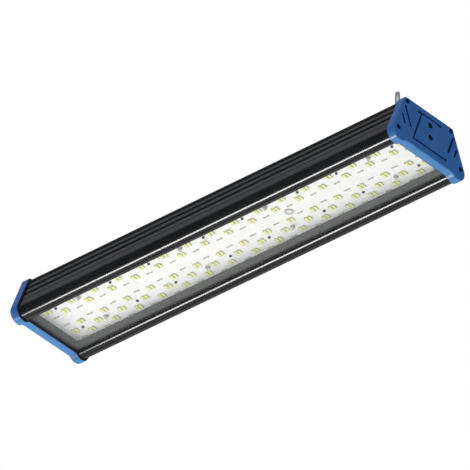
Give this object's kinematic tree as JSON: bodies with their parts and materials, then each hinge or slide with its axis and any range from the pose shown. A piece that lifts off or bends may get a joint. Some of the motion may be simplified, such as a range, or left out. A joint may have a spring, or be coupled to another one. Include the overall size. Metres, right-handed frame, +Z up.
{
  "type": "high bay light",
  "caption": "Linear LED high bay light: fluted black aluminium body with rounded lips, blue end caps, white LED boards behind a flat clear cover, and a steel eye on top.",
  "frame": {"origin": "Centre of the rectangle under the lamp, level with the lowest points of the end caps' lobes.", "axes": "+X along the lamp towards the end with the eye, +Y across it, +Z up from the light opening to the roof."},
  "size_m": [0.603, 0.1332, 0.1178],
  "materials": {
    "black_anodised": "satin",
    "blue_cap": "satin",
    "dark_screw": "satin",
    "dark_rubber": "matte",
    "clear_sheet": "clear",
    "white_board": "satin",
    "led_phosphor": "satin",
    "chip_ceramic": "satin",
    "pale_nylon": "satin",
    "zinc_steel": "satin",
    "black_nylon": "matte",
    "plain_aluminium": "satin",
    "plain_brass": "satin"
  },
  "bodies": {
    "root": {"housing": "black_anodised", "end_cap_right": "blue_cap", "end_cap_left": "blue_cap", "bracket_inserts_right": "dark_screw", "bracket_inserts_left": "dark_screw", "end_cap_screws_right": "dark_screw", "end_cap_screws_left": "dark_screw", "end_gasket_right": "dark_rubber", "end_gasket_left": "dark_rubber", "clear_cover": "clear_sheet", "cover_seal_near": "dark_rubber", "cover_seal_far": "dark_rubber", "led_board_right": "white_board", "led_board_left": "white_board", "leds_right": "led_phosphor", "leds_left": "led_phosphor", "resistors_right": "chip_ceramic", "resistors_left": "chip_ceramic", "board_screws_right": "dark_screw", "board_screws_left": "dark_screw", "board_rivets_right": "pale_nylon", "board_rivets_left": "pale_nylon", "wire_grommet": "pale_nylon", "eye_bolt": "zinc_steel", "eye_washer": "zinc_steel", "eye_jam_nut": "zinc_steel", "eye_lock_nut": "zinc_steel", "gland_body": "black_nylon", "gland_nut": "black_nylon", "gland_locknut": "black_nylon", "gland_seal": "dark_rubber", "driver_case": "plain_aluminium", "driver_end_plate_right": "plain_aluminium", "driver_end_plate_left": "plain_aluminium", "driver_plate_screws": "zinc_steel", "driver_mount_screws": "zinc_steel", "terminal_block": "pale_nylon", "terminal_screws": "plain_brass", "terminal_mount_screws": "zinc_steel"}
  },
  "joints": []
}
